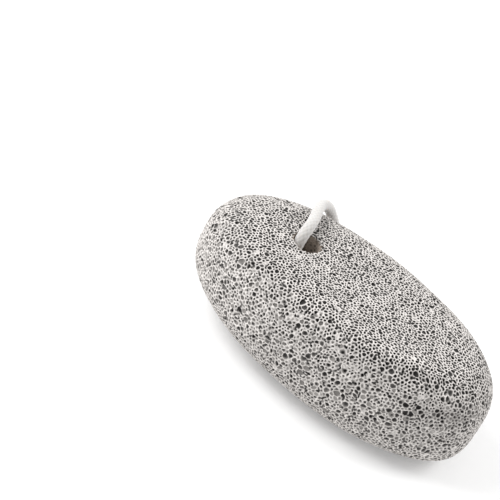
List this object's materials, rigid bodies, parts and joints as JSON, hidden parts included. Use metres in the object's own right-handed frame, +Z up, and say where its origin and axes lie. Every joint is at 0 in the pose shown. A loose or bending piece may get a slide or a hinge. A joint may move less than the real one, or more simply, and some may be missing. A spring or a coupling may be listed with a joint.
{
  "type": "pumice stone",
  "caption": "Oval pumice foot stone with rounded edges, open pores, and a drilled hole that holds a knotted hanging cord loop.",
  "frame": {"origin": "centre of the stone's own box in plan, on the surface that it rests on", "axes": "+X along the stone, away from the hole's end; +Y across it, towards the cord's knot; +Z up"},
  "size_m": [0.1, 0.0694, 0.0371],
  "materials": {
    "pumice": "matte, rough, porous",
    "cord": "matte, braided"
  },
  "bodies": {
    "root": {"stone": "pumice", "cord": "cord", "knot": "cord"}
  },
  "joints": []
}
